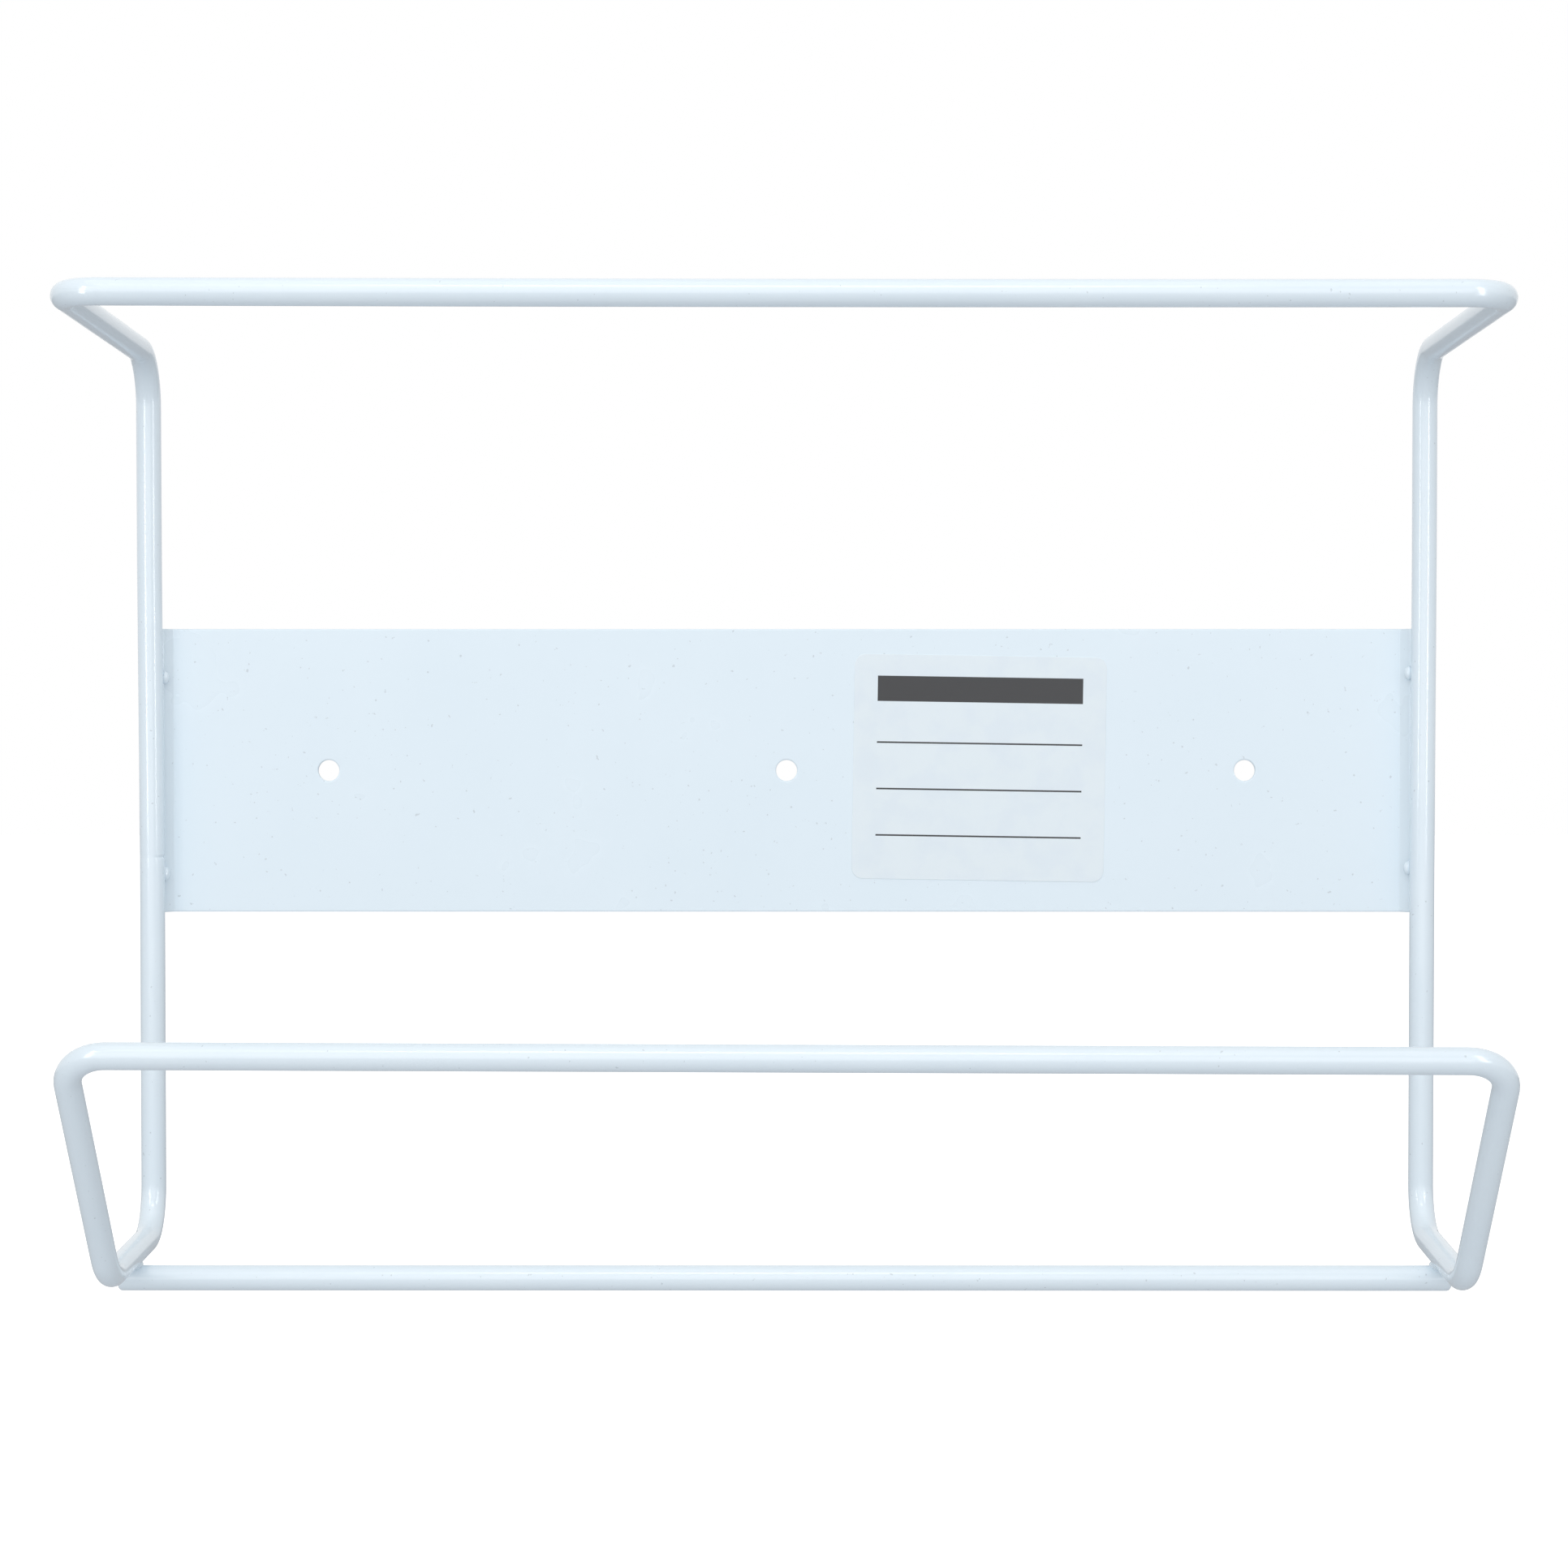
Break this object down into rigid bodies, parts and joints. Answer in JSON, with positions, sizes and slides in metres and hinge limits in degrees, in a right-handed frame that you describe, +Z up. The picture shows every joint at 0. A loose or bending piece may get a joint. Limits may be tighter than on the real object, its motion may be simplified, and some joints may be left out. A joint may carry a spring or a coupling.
{
  "type": "wire glove dispenser",
  "caption": "Wall rack of bent white wire on a sheet metal back plate; holds boxes of disposable gloves on end, side by side, with an open front.",
  "frame": {"origin": "middle screw hole of the back plate, on the wall", "axes": "+X to the right seen from the front, +Y into the wall, +Z up; the open front faces -Y"},
  "size_m": [0.264, 0.0967, 0.1915],
  "materials": {
    "frame_coat": "glossy white powder coat with a faint blue cast",
    "bar_coat": "glossy white powder coat with a faint blue cast",
    "plate_coat": "glossy white powder coat with a faint blue cast",
    "weld_coat": "glossy white powder coat with a faint blue cast",
    "label_film": "thin white film, satin"
  },
  "bodies": {
    "root": {"wire_frame": "frame_coat", "cross_bar": "bar_coat", "back_plate": "plate_coat", "label": "label_film", "tack_weld_upper_right": "weld_coat", "tack_weld_upper_left": "weld_coat", "tack_weld_lower_right": "weld_coat", "tack_weld_lower_left": "weld_coat", "bar_weld_right": "weld_coat", "bar_weld_left": "weld_coat"}
  },
  "joints": []
}
